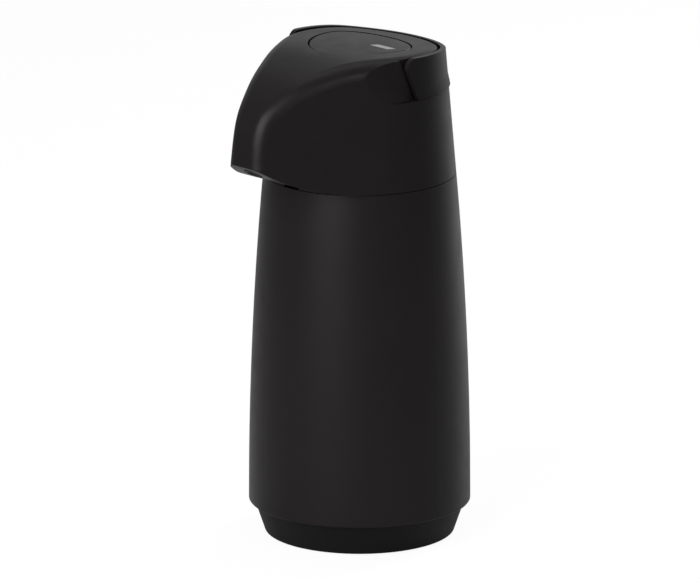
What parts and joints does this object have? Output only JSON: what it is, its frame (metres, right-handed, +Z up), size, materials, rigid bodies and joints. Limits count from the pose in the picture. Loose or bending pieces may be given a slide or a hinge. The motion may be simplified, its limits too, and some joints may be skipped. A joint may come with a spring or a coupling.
{
  "type": "airpot drink dispenser",
  "caption": "Black vacuum airpot with tapered body, beaked pump head, press button on a spring and bellows, dip tube, and a carrying handle that folds flush round the head",
  "frame": {"origin": "centre of the foot's underside, on the surface it stands on", "axes": "+Z up, spout towards -Y, +X to the pourer's left when facing the spout"},
  "size_m": [0.15, 0.1857, 0.3406],
  "materials": {
    "body_black": "black, soft satin sheen",
    "head_black": "black moulded, soft satin sheen",
    "foot_black": "darker matt black",
    "rubber_black": "matt",
    "silvered_glass": "silvered",
    "seal_grey": "pale silicone",
    "inner_plastic": "matt moulded",
    "pipe_plastic": "pale food-grade plastic",
    "bellows_rubber": "soft, matt",
    "steel": "plain",
    "badge_silver": "pale satin, bare"
  },
  "bodies": {
    "body": {"outer_body": "body_black", "base_cup": "foot_black", "foot_pad": "rubber_black", "flask_cushion": "rubber_black", "flask_outer": "silvered_glass", "flask_inner": "silvered_glass", "neck_gasket": "seal_grey", "neck_collar": "inner_plastic"},
    "stopper": {"stopper": "inner_plastic", "stopper_gasket": "seal_grey", "air_valve": "seal_grey", "dip_tube": "steel", "elbow_o_ring": "seal_grey"},
    "head": {"head_shell": "head_black", "head_floor": "inner_plastic", "beak_underside": "head_black", "pump_deck": "inner_plastic", "delivery_pipe": "pipe_plastic", "nozzle": "foot_black", "head_screws": "steel", "handle_pins": "steel", "bellows_clamp": "inner_plastic", "spring_seat": "inner_plastic", "bellows": "bellows_rubber", "return_spring": "steel"},
    "button": {"button_cap": "head_black", "plunger": "inner_plastic", "intake_valve": "seal_grey", "button_badge": "badge_silver"},
    "handle": {"handle_band": "head_black"}
  },
  "joints": [
    {"name": "stopper_lift", "type": "slide", "parent": "body", "child": "stopper", "axis": [0, 0, 1], "range_m": [0, 0.25]},
    {"name": "head_turn", "type": "hinge", "parent": "stopper", "child": "head", "pos_m": [0, 0, 0.25], "axis": [0, 0, 1], "range_deg": [0, 60]},
    {"name": "button_press", "type": "slide", "parent": "head", "child": "button", "axis": [0, 0, -1], "range_m": [0, 0.02], "stiffness_N_per_m": 350, "springref_m": -0.02, "deforming": ["bellows", "return_spring"]},
    {"name": "handle_swing", "type": "hinge", "parent": "head", "child": "handle", "pos_m": [0, -0.007, 0.3303], "axis": [1, 0, 0], "range_deg": [0, 105]}
  ]
}
